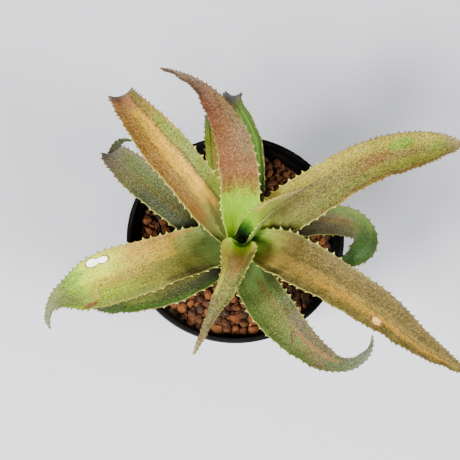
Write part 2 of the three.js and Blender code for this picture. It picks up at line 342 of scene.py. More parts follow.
potPlan = {
    "height": 75,
    "rim": 45,
    "base": 27.5,
    "wall": 1.1,
    "floor": 2,
    "floorHub": 1.5,  # radius of the innermost ring of the floor's faces
    "footRound": 1,
    "lipWidth": 2,
    "lipDepth": 1.2,
    "lipOverhang": 0.5,
    "lipRound": 0.45,
    "lipTuck": 0.3,  # the round under the lip
    "collarHeight": 6,
    "collarStep": 2,
    "collarTaper": 0.9,  # how far the collar leans in towards its foot
    "ledgeRound": 0.6,  # the collar's lower edge, outside and inside
    "ledgeDepth": 1,
    "rings": 4,  # fine rings inside the collar
    "ringRelief": 0.12,
    "ringsFrom": 0.6,  # below the rim
    "ringsDepth": 3.9,
    "ringsLean": 0.3,
    "holes": 6,
    "holeRadius": 3.5,
    "holeCircle": 18.5,
    "sides": 256,
    "colour": "#0c0c0d",
    "scuffed": "#1c1c1e",
    "dust": "#7c6a58",
    "film": 0.03,
    "specks": 0.3,
    "gloss": 0.09,
    "roughness": 0.34,
    "scuffRoughness": 0.12,
    "dustRoughness": 0.4,
    "scuffs": (60, 5, 0.65),
    "scuffEdge": (0.5, 0.7),
    "grain": (2600, 2, 0.6),
    "grainBump": (0.02, 0.6),  # height in mm, strength
}
rimHeight = potPlan["height"]
neck = potPlan["rim"] - potPlan["lipWidth"] - potPlan["collarStep"]
collarFoot = rimHeight - potPlan["collarHeight"]


def roundCorner(centre, radius, start, end, count=5):
    # points of an arc of an outline, its angles in degrees
    turn = np.radians(np.linspace(start, end, count))
    return np.stack([centre[0] + radius * np.cos(turn), centre[1] + radius * np.sin(turn)], -1)


def potOutline():
    # from the middle of the underside outwards, up the outside, over the lip and back down the inside
    plan = potPlan
    rim, base, wall, floor, hub = [plan[name] for name in ("rim", "base", "wall", "floor", "floorHub")]
    foot, ledge, tuck, lip = [plan[name] for name in ("footRound", "ledgeRound", "lipTuck", "lipRound")]
    shoulder = collarFoot - plan["ledgeDepth"]
    collar = rim - plan["lipOverhang"]
    collarEnd = collar - plan["collarTaper"]
    inner = rim - plan["lipWidth"]
    lipFoot = rimHeight - plan["lipDepth"]
    share = np.linspace(0, 1, 60)
    inside = np.stack([inner - plan["ringsLean"] * share,
                       rimHeight - plan["ringsFrom"] - plan["ringsDepth"] * share], -1)
    inside[:, 0] += plan["ringRelief"] * np.sin(np.pi * share) * np.cos(2 * np.pi * plan["rings"] * share)
    # straight stretches are split, so that long thin faces don't shade badly
    return np.vstack([
        [(0, 0)], np.linspace((hub, 0), (base - 2.5 * foot, 0), 16),
        roundCorner((base - foot, foot), foot, -90, -8),
        np.linspace((base, foot), (neck + wall, shoulder), 30),
        roundCorner((collarEnd - ledge, collarFoot + ledge / 2), ledge, -70, -5),
        np.linspace((collarEnd, collarFoot + ledge / 2), (collar, lipFoot - tuck / 2), 8),
        roundCorner((rim - tuck, lipFoot + tuck), tuck, -80, 0),
        roundCorner((rim - lip, rimHeight - lip), lip, 0, 90, 7),
        roundCorner((inner + lip, rimHeight - lip), lip, 90, 180, 7), inside,
        roundCorner((neck + ledge, collarFoot + plan["ledgeDepth"]), ledge, 150, 240),
        np.linspace((neck - ledge / 2, collarFoot + 0.1), (base - wall, floor), 24),
        np.linspace((base - wall - foot, floor), (hub, floor), 16), [(0, floor)],
    ])


def addPot():
    plan = potPlan
    pot = addPiece("plasticPot", *turnedShape(potOutline(), plan["sides"]), "pot")
    # a hole's cutter stands out of the floor on both sides
    low, high = -plan["floor"] / 2, 2 * plan["floor"]
    cutter = [(0, low), (plan["holeRadius"], low), (plan["holeRadius"], high), (0, high)]
    holes = []
    for hole in range(plan["holes"]):
        turn = (hole + 0.5) * 2 * math.pi / plan["holes"]
        middle = plan["holeCircle"] * math.cos(turn), plan["holeCircle"] * math.sin(turn)
        holes.append(turnedShape(cutter, 40, middle))
    cutAway(pot, holes)
    pot.data.shade_smooth()
    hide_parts("pot")
    tree, inputs = addMaterial(pot, "satinBlackPlastic")
    place = objectPlace(tree)
    scuffs = ease(tree, noise(tree, place, *plan["scuffs"]), *plan["scuffEdge"])
    colour = blendColours(tree, scuffs, paint(plan["colour"]), paint(plan["scuffed"]))
    dusted = useGroup(tree, dust, {"Colour": colour, "Dust": paint(plan["dust"]), "Place": place,
                                   "Film": plan["film"], "Specks": plan["specks"]})
    rough = plus(tree, plan["roughness"], scuffs, plan["scuffRoughness"])
    rough = plus(tree, rough, dusted["Mask"], plan["dustRoughness"])
    grain = bump(tree, noise(tree, place, *plan["grain"]), *plan["grainBump"])
    dress(tree, inputs, dusted["Colour"], rough, plan["gloss"], grain)


# soil: a filling with loose clay granules on top, each a lumpy ball with broken facets and its own colour

soilPlan = {
    "clearance": 0.3,  # from the pot and the stem
    "pitch": 4.2,  # between neighbouring granules of the top layer
    "topDepth": 4.7,
    "lowerBy": 1.7,
    "unevenness": 1.0,
    "shift": 0.5,
    "dipDepth": 2.8,  # the granules lie lower round the stem
    "dipInner": 11,
    "dipOuter": 19,
    "wallGap": 0.6,
    "stemHole": 5.2,
    "stemGap": 1.2,
    "groundBelow": 1.4,  # the filling's top below the lower layer
    "groundDip": 2.4,
    "groundBevel": 0.4,
    "seed": 7,
    "topSize": (1.6, 2.7),  # smallest and largest radius
    "lowerSize": (1.2, 2.1),
    "stretch": (0.82, 1.14),
    "flatten": 0.86,
    "wallFit": 0.95,  # share of its size that a granule keeps from the wall
    "lumpWaves": 2.2,
    "lumpHeight": 0.075,
    "facets": 12,  # flat sides broken off each granule
    "facetReach": (0.6, 0.95),
    "facetLeast": 0.05,
    "slant": 0.5,  # radians
    "slantShare": 0.4,
    "dark": "#2c1c10",
    "brown": "#54341e",
    "rust": "#804c24",
    "light": "#9e6834",
    "pale": "#c09a72",
    "veil": 0.006,  # in place of the look's, as fired clay mirrors little
    "groundTone": 0.1,
    "paleFrom": 0.985,  # share of the granules that aren't pale
    "film": 0.25,
    "specks": 0.4,
    "gloss": 0.15,
    "roughness": 0.62,
    "poreRoughness": 0.3,
    "patches": (420, 4, 0.65),
    "patchTone": 1.3,
    "stains": (1300, 3, 0.7),
    "stainEdge": (0.52, 0.75, 0, 0.5),
    "pores": (1700, 4, 0.7),
    "poreBump": (0.35, 0.8),  # height in mm, strength
}
rosetteMiddle = (2.5, -5.8)


def draw(column, row, kind):
    # a repeatable number between 0 and 1 for each place of the lattice: what is left of a long fast wave
    wave = np.sin(column * 127.1 + row * 311.7 + kind * 74.7) * 43758.5453
    return wave - np.floor(wave)


def granulePlaces():
    # the same shifted triangular lattice as the solid's relief: every third point is a top
    plan = soilPlan
    pitch = plan["pitch"] / math.sqrt(3)
    reach = math.ceil(potPlan["rim"] / plan["pitch"] * 2)
    row, column = np.meshgrid(np.arange(-reach, reach + 1), np.arange(-reach, reach + 1), indexing="ij")
    row, column = row.ravel(), column.ravel()
    x = pitch * (column + row / 2) + plan["shift"] * (draw(column, row, 1) - 0.5) * 2
    y = pitch * row * math.sqrt(3) / 2 + plan["shift"] * (draw(column, row, 2) - 0.5) * 2
    isTop = (column - row) % 3 == 0
    fromStem = np.hypot(x - rosetteMiddle[0], y - rosetteMiddle[1])
    share = np.clip((fromStem - plan["dipInner"]) / (plan["dipOuter"] - plan["dipInner"]), 0, 1)
    dip = plan["dipDepth"] * (1 - share ** 2 * (3 - 2 * share))
    level = rimHeight - plan["topDepth"] - np.where(isTop, 0, plan["lowerBy"]) - dip
    z = level + plan["unevenness"] * (draw(column, row, 3) - 0.5)
    keep = (np.hypot(x, y) < neck - plan["wallGap"]) & (fromStem > plan["stemHole"] + plan["stemGap"])
    return np.stack([x, y, z], -1)[keep], isTop[keep]


def unitBall():
    ball = bmesh.new()
    bmesh.ops.create_icosphere(ball, subdivisions=2, radius=1)
    points = np.array([corner.co[:] for corner in ball.verts])
    faces = np.array([[corner.index for corner in face.verts] for face in ball.faces])
    ball.free()
    return points, faces


def granuleArrays():
    # Granule point = place + slant · spin · (lump · facet · radii · unit ball). The lump is a sum of waves
    # over the ball, and the facet cuts it off at a few random planes. The top is level with the place.
    plan = soilPlan
    draws = np.random.default_rng(plan["seed"])
    places, isTop = granulePlaces()
    ball, faces = unitBall()
    count = len(places)
    size = np.where(isTop, draws.uniform(*plan["topSize"], count), draws.uniform(*plan["lowerSize"], count))
    radii = size[:, None] * draws.uniform(*plan["stretch"], (count, 3)) * (1, 1, plan["flatten"])
    fromMiddle = np.hypot(places[:, 0], places[:, 1])
    pull = np.minimum(1, (neck - plan["clearance"] - size * plan["wallFit"]) / np.maximum(fromMiddle, 1))
    places[:, :2] *= pull[:, None]
    waves = draws.normal(size=(count, 3, 3)) * plan["lumpWaves"]
    phases = draws.uniform(0, 2 * np.pi, (count, 1, 3))
    lump = 1 + plan["lumpHeight"] * np.sin(ball[None] @ waves + phases).sum(-1)
    planes = draws.normal(size=(count, 3, plan["facets"]))
    planes /= np.linalg.norm(planes, axis=1, keepdims=True)
    reach = draws.uniform(*plan["facetReach"], (count, 1, plan["facets"]))
    facet = np.minimum(1, (reach / np.maximum(ball[None] @ planes, plan["facetLeast"])).min(axis=-1))
    local = ball[None] * (lump * facet)[..., None] * radii[:, None]
    tilt, lean = np.sin(draws.uniform(-plan["slant"], plan["slant"], (2, count, 1)))
    spin = draws.uniform(0, anyTurn, (count, 1))
    x = local[..., 0] * np.cos(spin) - local[..., 1] * np.sin(spin)
    y = local[..., 0] * np.sin(spin) + local[..., 1] * np.cos(spin)
    z = local[..., 2] + x * tilt * plan["slantShare"] + y * lean * plan["slantShare"]
    z -= z.max(axis=1, keepdims=True)
    points = np.stack([x, y, z], -1) + places[:, None]
    allFaces = faces[None] + (np.arange(count) * len(ball))[:, None, None]
    tone = np.repeat(draws.uniform(0, 1, count), len(ball))
    odd = np.repeat(draws.uniform(0, 1, count) > plan["paleFrom"], len(ball))
    return points.reshape(-1, 3), allFaces.reshape(-1, 3).tolist(), tone, odd


def groundArrays():
    # the filling under the granules: a turned shape with a hole for the stem, read back once it is cut
    plan = soilPlan
    low = potPlan["floor"] + plan["clearance"]
    wide = potPlan["base"] - potPlan["wall"] - plan["clearance"]
    top = neck - plan["clearance"]
    level = rimHeight - plan["topDepth"] - plan["lowerBy"] - plan["groundBelow"]
    bevel, dip = plan["groundBevel"], plan["groundDip"]
    outline = np.vstack([
        [(0, low)], np.linspace((3, low), (wide, low), 6),
        np.linspace((wide, low + bevel / 2), (top, level - bevel), 12),
        np.linspace((top - bevel, level), (20, level), 8),
        np.linspace((18, level - 1), (1, level - dip), 6), [(0, level - dip)],
    ])
    filling = addPiece("filling", *turnedShape(outline, 96))
    stemFoot = rimHeight + stemPlan["outline"][0][1] - plan["clearance"]
    hole = [(0, stemFoot), (plan["stemHole"], stemFoot), (plan["stemHole"], rimHeight), (0, rimHeight)]
    cutAway(filling, [turnedShape(hole, 40, rosetteMiddle)])
    points = np.empty(len(filling.data.vertices) * 3)
    filling.data.vertices.foreach_get("co", points)
    faces = [list(face.vertices) for face in filling.data.polygons]
    bpy.data.objects.remove(filling)
    return points.reshape(-1, 3) / mm, faces


def addSoil():
    ground, groundFaces = groundArrays()
    points, faces, tone, odd = granuleArrays()
    faces += [[corner + len(points) for corner in face] for face in groundFaces]
    below = np.zeros(len(ground))
    tone = np.concatenate([tone, below + soilPlan["groundTone"]])
    odd = np.concatenate([odd, below])
    points = np.vstack([points, ground])
    soil = addPiece("clayGranules", points, faces, "soil", {"tone": tone, "odd": odd})
    soil.data.shade_flat()
    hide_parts("soil")
    clayFinish(soil)


def clayFinish(soil):
    plan = soilPlan
    tree, inputs = addMaterial(soil, "firedClay")
    place = objectPlace(tree)
    names = "dark", "brown", "rust", "light", "pale"
    dark, brown, rust, light, pale = [paint(plan[name], plan["veil"]) for name in names]
    tone = plus(tree, attribute(tree, "tone"), evenNoise(tree, place, *plan["patches"]), plan["patchTone"])
    colour = colourRamp(tree, tone, [(0, dark), (0.3, brown), (0.65, rust), (1, light)])
    stains = ease(tree, noise(tree, place, *plan["stains"]), *plan["stainEdge"])
    colour = blendColours(tree, stains, colour, dark)
    colour = blendColours(tree, attribute(tree, "odd"), colour, pale)
    dusted = useGroup(tree, dust, {"Colour": colour, "Dust": pale, "Place": place,
                                   "Film": plan["film"], "Specks": plan["specks"]})
    pores = noise(tree, place, *plan["pores"])
    rough = plus(tree, plan["roughness"], pores, plan["poreRoughness"])
    dress(tree, inputs, dusted["Colour"], rough, plan["gloss"], bump(tree, pores, *plan["poreBump"]))


# stem: a short thick shoot with the scars of old leaves, hidden by the leaf feet; its top is painted dark,
# as painted shade deep in the leaves' tube

stemPlan = {
    "outline": [(3.4, -36), (4.4, -32), (4.8, -12), (4.7, -2), (4.2, 2), (3.9, 5), (3.4, 6.4),
                (3.1, 8), (2.5, 9.6), (1.5, 11.6), (1.0, 14)],  # radius, height over the rim
    "tip": 15,
    "scars": 9,
    "scarRelief": 0.12,
    "scarSharpness": 8,
    "scarsEnd": 12,
    "colour": "#8b9a45",
    "scarColour": "#6b5a34",
    "rootColour": "#5b3f28",
    "rootEdge": (0.072, 0.062),  # height in metres
    "tubeShadeColour": "#243c0e",  # painted shade: near black-green where the stem's top sits deep between the innermost leaves
    "tubeShadeEdge": (0.078, 0.081),
    "gloss": 0.05,
    "roughness": 0.6,
    "streakRoughness": 0.3,
    "streaks": (900, 3, 0.6, (1, 1, 0.15)),  # the last is the noise's stretch
    "streakEdge": (0.4, 0.65),
    "streakBump": (0.15, 0.6),  # height in mm, strength
}


def addStem():
    # radius = the outline's - relief · a high power of a cosine of the height, so that each scar is a ring
    plan = stemPlan
    radii, heights = np.array(plan["outline"], float).T
    height = np.linspace(heights[0], heights[-1], 90)
    radius = np.interp(height, heights, radii)
    wave = np.cos(height * 2 * np.pi * plan["scars"] / (heights[-1] - heights[0]))
    radius -= plan["scarRelief"] * wave ** plan["scarSharpness"] * (height < plan["scarsEnd"])
    outline = np.vstack([[(0, heights[0])], np.stack([radius, height], -1), [(0, plan["tip"])]])
    outline[:, 1] += rimHeight
    stem = addPiece("shortStem", *turnedShape(outline, 48, rosetteMiddle), "stem")
    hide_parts("stem")
    tree, inputs = addMaterial(stem, "stemSkin")
    place = objectPlace(tree)
    upright = addNode(tree, "SeparateXYZ", {0: place}).outputs[2]
    streaks = noise(tree, place, *plan["streaks"])
    colour = paint(plan["colour"])
    # the last blend is painted shade, near black on the stem's top between the innermost leaves
    for share, name in ((ease(tree, streaks, *plan["streakEdge"]), "scarColour"),
                        (ease(tree, upright, *plan["rootEdge"]), "rootColour"),
                        (ease(tree, upright, *plan["tubeShadeEdge"]), "tubeShadeColour")):
        colour = blendColours(tree, share, colour, paint(plan[name]))
    rough = plus(tree, plan["roughness"], streaks, plan["streakRoughness"])
    dress(tree, inputs, colour, rough, plan["gloss"], bump(tree, streaks, *plan["streakBump"]))


# Leaves. Each is a walk from its foot, which is (direction from the rosette's middle in degrees, distance
# in mm, height in mm over the rim). Heading, climb and roll in degrees and width in mm are at equal steps
# from foot to tip. Clasp and rest are half the channel's angle at the foot and further out. Colours lie
# along the leaf from foot to tip. A stripe is (middle across, half width, from, to, colour, strength),
# where across runs from -1 at the left margin to 1 at the right one, seen from the foot. A patch is (mm
# from the foot, mm to the right of the middle, half its length, half its width, turn in degrees, colour,
# strength). Speckles is how strong the silvery grain is, flecks its colour, and spines the share of their
# usual length.

# Near their feet the colours of most leaves are paler and brighter than the leaf's own: painted light,
# standing in for light that shines through the flesh where the rosette shades the feet.
leafPlans = {
    "leaf_01": {
        "foot": (100, 4.3, 7.6), "length": 95, "clasp": 70,
        "heading": [95, 90, 90, 95, 105, 115, 120, 130, 145, 150],
        "climb": [70, 70, 65, 55, 35, 10, -5, -15, -20, -25],
        "width": [12, 14, 16, 15, 14, 12, 9, 5, 2, 0.6],
        "roll": [0, 0, 0, 0, 0, 0, -5, -10, -10, -10],
        "colours": [
            (0, "#8cac34"), (0.06, "#a4bc3a"), (0.25, "#aac23e"), (0.3, "#a09446"), (0.36, "#986e42"),
            (0.55, "#94704c"), (0.7, "#98745e"), (0.8, "#947e6e"), (1, "#8e7e74")],
        "stripes": [
            (-0.6, 0.35, 0.38, 0.6, "#9c6c44", 0.7), (-0.7, 0.3, 0.6, 0.72, "#a06850", 0.7),
            (0.65, 0.35, 0.4, 0.75, "#86764c", 0.7)],
        "speckles": 0.85,
        "flecks": "#b8a680",
    },
    "leaf_02": {
        "foot": (132, 5, 6.1), "length": 118, "clasp": 50,
        "heading": [145, 140, 135, 135, 130, 125, 125, 115, 115, 120, 120],
        "climb": [50, 50, 50, 30, 10, -10, -20, -40, -80, -100, -105],
        "width": [13, 16, 18, 18, 18, 16, 13, 10, 9, 5, 0.6],
        "colours": [
            # the foot's pale stop is painted light on a shaded foot
            (0, "#b8c078"), (0.09, "#96985c"), (0.15, "#a49e60"), (0.45, "#c4a858"), (0.62, "#b69c54"),
            (0.76, "#b0907a"), (0.85, "#a07a64"), (1, "#8a7a68")],
        "stripes": [
            (-0.7, 0.34, 0.14, 0.6, "#a88a50", 1), (-0.7, 0.34, 0.6, 0.68, "#b09060", 1),
            (-0.7, 0.34, 0.68, 0.85, "#a8705a", 0.8), (0.08, 0.3, 0.2, 0.46, "#c8b458", 1),
            (0.08, 0.3, 0.46, 0.62, "#c2b058", 1), (0.08, 0.3, 0.62, 0.76, "#c0a078", 0.9),
            (0.2, 0.07, 0.16, 0.6, "#d2ba70", 0.8), (-0.27, 0.05, 0.2, 0.62, "#8a7a40", 0.8),
            (0.76, 0.28, 0.1, 0.55, "#94a048", 1), (0.76, 0.28, 0.55, 0.72, "#a09458", 0.9),
            (0.47, 0.05, 0.12, 0.7, "#7a7a3c", 1), (0.7, 0.5, 0.0, 0.12, "#989448", 0.8)],
        "speckles": 0.9,
    },
    "leaf_03": {
        "foot": (160, 5.5, -1.4), "length": 92, "clasp": 38,
        "heading": [155, 155, 150, 145, 145, 140, 135, 130, 95, 80, -20],
        "climb": [45, 40, 35, 20, 10, 0, -10, -30, -85, -15, 10],
        "width": [12, 14, 15, 16, 16, 15, 13, 10, 5, 3.5, 0.6],
        "colours": [
            (0, "#6a7434"), (0.2, "#626434"), (0.32, "#6e6c3c"), (0.5, "#888650"), (0.66, "#948a70"),
            (0.78, "#9a8e80"), (0.88, "#9a8e7e"), (0.94, "#66705a"), (1, "#6a8458")],
        "stripes": [
            (-0.6, 0.4, 0.2, 0.5, "#6c7258", 0.8), (-0.15, 0.1, 0.28, 0.5, "#8a7a3c", 0.6),
            (0.45, 0.4, 0.4, 0.66, "#7e8a4c", 0.8)],
        "speckles": 0.9,
        "flecks": "#a9b49a",
    },
    "leaf_04": {
        "foot": (196, 5, 3), "length": 104, "clasp": 48,
        "heading": [185, 205, 210, 205, 200, 195, 190, 190, 225, 300],
        "climb": [55, 45, 35, 25, 5, -15, -30, -40, -55, -55],
        "width": [12, 18, 20, 20, 21, 22, 19, 10, 3, 0.6],
        "colours": [
            # the pale stops at the foot are painted light on a shaded foot
            (0, "#a2b87c"), (0.1, "#9cac70"), (0.2, "#989e5c"), (0.3, "#a09e50"), (0.45, "#aeac50"),
            (0.6, "#b8b448"), (0.68, "#b4c63c"), (0.72, "#96b236"), (0.78, "#8a964e"), (0.86, "#8e9868"),
            (1, "#98a088")],
        "stripes": [
            (-0.85, 0.25, 0.18, 0.4, "#746c44", 0.8), (-0.85, 0.2, 0.42, 0.66, "#98a468", 0.8),
            (-0.3, 0.3, 0.25, 0.5, "#92904c", 0.8), (0.45, 0.35, 0.28, 0.5, "#c0b058", 0.8),
            (0.7, 0.25, 0.3, 0.46, "#c0a458", 0.5), (0.5, 0.45, 0.52, 0.67, "#c8cc44", 0.9),
            (-0.1, 0.2, 0.42, 0.62, "#b4a054", 0.6), (-0.5, 0.3, 0.48, 0.66, "#a0b046", 0.8),
            (-0.55, 0.35, 0.67, 0.84, "#8e965c", 0.8), (0.93, 0.07, 0.2, 0.5, "#b89a58", 0.9)],
        "patches": [
            (59.2, 8.1, 2.7, 1.8, 0, "#8f6a38", 0.9), (64.2, 8.2, 3.4, 2.1, 0, "#8f6a38", 0.9),
            (59.3, 8.1, 2.0, 1.3, 0, "#efe9e4", 1), (61.6, 8.2, 2.0, 0.9, 0, "#efe9e4", 1),
            (64.2, 8.2, 2.7, 1.5, 0, "#efe9e4", 1), (67.5, -8.4, 3.0, 1.3, 0, "#9c6a50", 0.9),
            (65.5, -4.5, 1.5, 2.6, 0, "#cfb090", 0.3)],
        "speckles": 0.8,
    },
    "leaf_05": {
        "foot": (216, 5.6, -5), "length": 85, "clasp": 40,
        "heading": [205, 215, 215, 205, 190, 180, 170, 150, 125],
        "climb": [45, 35, 25, 10, -15, -35, -55, -75, -90],
        "width": [11, 14, 16, 16, 15, 13, 10, 5, 0.6],
        "colours": [
            (0, "#606450"), (0.2, "#60644c"), (0.4, "#5e6840"), (0.6, "#587432"), (0.85, "#606e3c"),
            (1, "#6a8a4a")],
        "stripes": [
            (-0.1, 0.12, 0.2, 0.6, "#7e7c3c", 0.8), (-0.4, 0.15, 0.45, 0.6, "#86903e", 0.6),
            (-0.85, 0.15, 0.15, 0.9, "#528034", 0.8)],
        "speckles": 0.5,
    },
    "leaf_06": {
        "foot": (262, 3.4, 13.5), "length": 66, "clasp": 76,
        "heading": [260, 260, 260, 255, 245, 240, 240, 235],
        "climb": [68, 58, 50, 30, 5, -25, -40, -50],
        "width": [11, 15, 13, 9, 7, 4, 2, 0.6],
        "colours": [
            # the pale, bright stops at the foot are painted light, standing in for light that shines
            # through the flesh where the rosette shades it
            (0, "#d8e498"), (0.08, "#d8dc98"), (0.18, "#d0ca90"), (0.3, "#c6b284"), (0.5, "#a0a060"),
            (0.7, "#706c38"), (0.88, "#7a6c42"), (1, "#a89878")],
        "stripes": [
            (-0.4, 0.25, 0.25, 0.43, "#b89860", 0.8), (-0.8, 0.2, 0.2, 0.8, "#7a8a48", 0.8),
            (0.8, 0.2, 0.08, 0.6, "#c4c468", 0.7)],
        "speckles": 0.9,
        "spines": 0.6,
    },
    "leaf_07": {
        "foot": (290, 5.4, -0.7), "length": 90, "clasp": 40,
        "heading": [280, 285, 290, 300, 310, 320, 335, 355, 400, 450],
        "climb": [60, 45, 30, 15, 0, -20, -30, -15, 20, 55],
        "width": [12, 14, 16, 17, 16, 13, 10, 6, 4, 0.6],
        "roll": [0, 0, 0, 0, 0, 0, -5, -35, -55, -60],
        "colours": [
            # the pale stops at the foot are painted light on a shaded foot
            (0, "#a4b880"), (0.15, "#8ca266"), (0.3, "#748446"), (0.45, "#787e40"), (0.58, "#7e7c48"),
            (0.68, "#867850"), (0.76, "#70744a"), (0.86, "#7c826a"), (1, "#8a8e80")],
        "stripes": [
            (-0.85, 0.3, 0.1, 0.42, "#5c6638", 0.8), (-0.7, 0.3, 0.42, 0.72, "#726248", 0.8),
            (-0.25, 0.12, 0.2, 0.48, "#8c8248", 0.8), (-0.25, 0.14, 0.5, 0.76, "#a07e50", 0.9),
            (0.15, 0.25, 0.3, 0.6, "#85904a", 0.8), (0.8, 0.25, 0.15, 0.65, "#6c8440", 0.8),
            (0.3, 0.4, 0.7, 0.84, "#5c7044", 0.7)],
        "patches": [
            (47.0, 0.5, 2.6, 0.9, -50, "#5f4630", 0.8), (47.2, 0.4, 1.6, 0.3, -50, "#b09478", 0.8)],
        "speckles": 0.85,
        "flecks": "#a4ac7c",
    },
    "leaf_08": {
        "foot": (335, 4.1, 6.2), "length": 116, "clasp": 66,
        "heading": [330, 320, 320, 325, 325, 330, 325, 330, 335, 335],
        "climb": [65, 55, 40, 25, 5, -10, -20, -25, -25, -25],
        "width": [14, 17, 20, 19, 17, 16, 14, 10, 6, 0.6],
        "colours": [
            (0, "#a8c470"), (0.08, "#a8bc68"), (0.14, "#a8a85c"), (0.22, "#a0965a"), (0.5, "#948644"),
            (0.85, "#988444"), (0.92, "#86804c"), (1, "#8a7a54")],
        "stripes": [
            (-0.5, 0.5, 0.2, 0.5, "#7c6e3c", 0.85), (-0.6, 0.4, 0.5, 0.95, "#70622e", 0.85),
            # the next two stripes, on the right half of the foot, are painted light, lifting it where
            # leaf_09 and leaf_10 shade it
            (0.65, 0.5, 0.0, 0.1, "#b8cc70", 0.8), (0.65, 0.5, 0.12, 0.27, "#c4b87c", 0.8),
            (0.2, 0.3, 0.2, 0.55, "#ac9858", 0.8), (0.32, 0.15, 0.4, 0.95, "#b8a04e", 0.9),
            (0.88, 0.15, 0.12, 0.9, "#8c8450", 0.8), (-0.93, 0.08, 0.15, 0.95, "#7c744c", 0.7)],
        "patches": [(72.1, 3.8, 2.7, 2.1, 0, "#a87c4c", 0.9), (72.1, 3.8, 2.0, 1.5, 0, "#d8c8a0", 1)],
        "speckles": 0.85,
        "flecks": "#b8a666",
    },
    "leaf_09": {
        "foot": (26, 5.1, 2.1), "length": 106, "clasp": 46,
        "heading": [45, 25, 20, 25, 30, 25, 20, 20, 15, 10],
        "climb": [50, 50, 45, 30, 15, 0, -10, -15, -15, -20],
        "width": [11, 17, 19, 19, 18, 17, 17, 15, 10, 0.6],
        "colours": [
            # the very pale stops at the foot are painted light, lifting it where leaf_10 shades it
            (0, "#ecf4b8"), (0.08, "#d8e0a0"), (0.14, "#b4b874"), (0.2, "#9c9a5c"), (0.4, "#9e9a4c"),
            (0.6, "#a6984e"), (0.8, "#a69e4e"), (0.92, "#a29a68"), (1, "#a29878")],
        "stripes": [
            (-0.7, 0.3, 0.0, 0.6, "#b4ac50", 0.8), (-0.6, 0.3, 0.6, 0.92, "#b0ac54", 0.9),
            (0.05, 0.2, 0.25, 0.9, "#92875a", 0.6), (-0.1, 0.3, 0.55, 0.68, "#a07c4c", 0.7),
            (0.6, 0.3, 0.2, 0.6, "#8e9250", 0.9), (0.55, 0.3, 0.6, 0.9, "#9ca04e", 0.8),
            (0.92, 0.08, 0.3, 0.9, "#90704e", 0.8)],
        "patches": [(78, -4, 6, 2.2, 0, "#8cac40", 0.8), (92, 0, 5, 2.2, 0, "#94a44c", 0.7)],
        "speckles": 1.0,
    },
    "leaf_10": {
        "foot": (46, 2.2, 11.6), "length": 58, "clasp": 92, "rest": 45,
        "heading": [40, 20, 10, 5, 5, 15, 25, 30],
        "climb": [70, 70, 75, 70, 60, 40, 10, -10],
        "width": [9, 10, 9, 7, 5, 3, 1, 0.6],
        "colours": [
            # the first stops are painted shade: near black-green where the foot sits deep in the rosette's
            # tube
            (0, "#24400e"), (0.05, "#305814"), (0.1, "#548428"), (0.15, "#80a834"), (0.2, "#a0bc40"),
            (0.25, "#a2bc3c"), (0.34, "#9eae46"), (0.5, "#969e4e"), (0.75, "#8a8652"), (1, "#9a9064")],
        "stripes": [(-0.85, 0.15, 0.3, 0.7, "#c8bc7c", 0.6)],
        "speckles": 0.6,
    },
    "leaf_11": {
        "foot": (79, 5.4, 0.6), "length": 94, "clasp": 40, "rest": 32,
        "heading": [80, 75, 80, 95, 115, 110, 95, 80, 70],
        "climb": [35, 35, 35, 20, 0, -30, -55, -70, -80],
        "width": [11, 10, 10, 11, 9, 7, 7, 5, 0.6],
        "roll": [0, 5, 25, 50, 50, 30, 0, 0, 0],
        "colours": [
            (0, "#749048"), (0.3, "#709244"), (0.5, "#749648"), (0.65, "#768648"), (0.72, "#948a70"),
            (1, "#8a8078")],
        "stripes": [
            (0.9, 0.1, 0.2, 0.6, "#5c8434", 0.8), (0.3, 0.1, 0.3, 0.6, "#94bc58", 0.6),
            (-0.3, 0.1, 0.3, 0.6, "#94bc58", 0.5)],
        "speckles": 0.4,
    },
    "leaf_12": {
        "foot": (6, 6, -3.5), "length": 76, "clasp": 36,
        "heading": [30, 30, 20, 5, 0, -5, -35, -95, -160, -180],
        "climb": [45, 40, 25, 15, 0, -20, -50, -60, -30, -10],
        "width": [11, 13, 13, 13, 13, 12, 11, 11, 7, 0.6],
        "colours": [
            # the lighter stops up to 0.3 are painted light, lifting a foot that the leaves above shade
            (0, "#787052"), (0.3, "#726a4e"), (0.42, "#908868"), (0.56, "#968e5c"), (0.64, "#7e8e4c"),
            (0.72, "#587c38"), (1, "#466e34")],
        "stripes": [
            (0.6, 0.35, 0.4, 0.64, "#8a8468", 0.7), (-0.1, 0.15, 0.4, 0.62, "#96804c", 0.7),
            (-0.8, 0.3, 0.4, 0.72, "#7c9444", 0.9)],
        "speckles": 0.5,
        "flecks": "#9aa08a",
    },
    "leaf_13": {
        "foot": (112, 5.6, -4), "length": 75, "clasp": 36,
        "heading": [100, 105, 110, 100, 95, 95, 90, 80],
        "climb": [35, 35, 30, 15, -10, -35, -55, -70],
        "width": [9, 10, 10, 9, 8, 7, 5, 0.6],
        "colours": [(0, "#8c9444"), (0.3, "#aca050"), (0.6, "#b4b060"), (1, "#b0a882")],
        "stripes": [
            (-0.8, 0.15, 0.3, 0.8, "#9cb850", 0.8), (-0.5, 0.1, 0.3, 0.8, "#7c8840", 0.8),
            (-0.1, 0.2, 0.4, 0.8, "#b0a05c", 0.7)],
        "speckles": 0.4,
    },
}

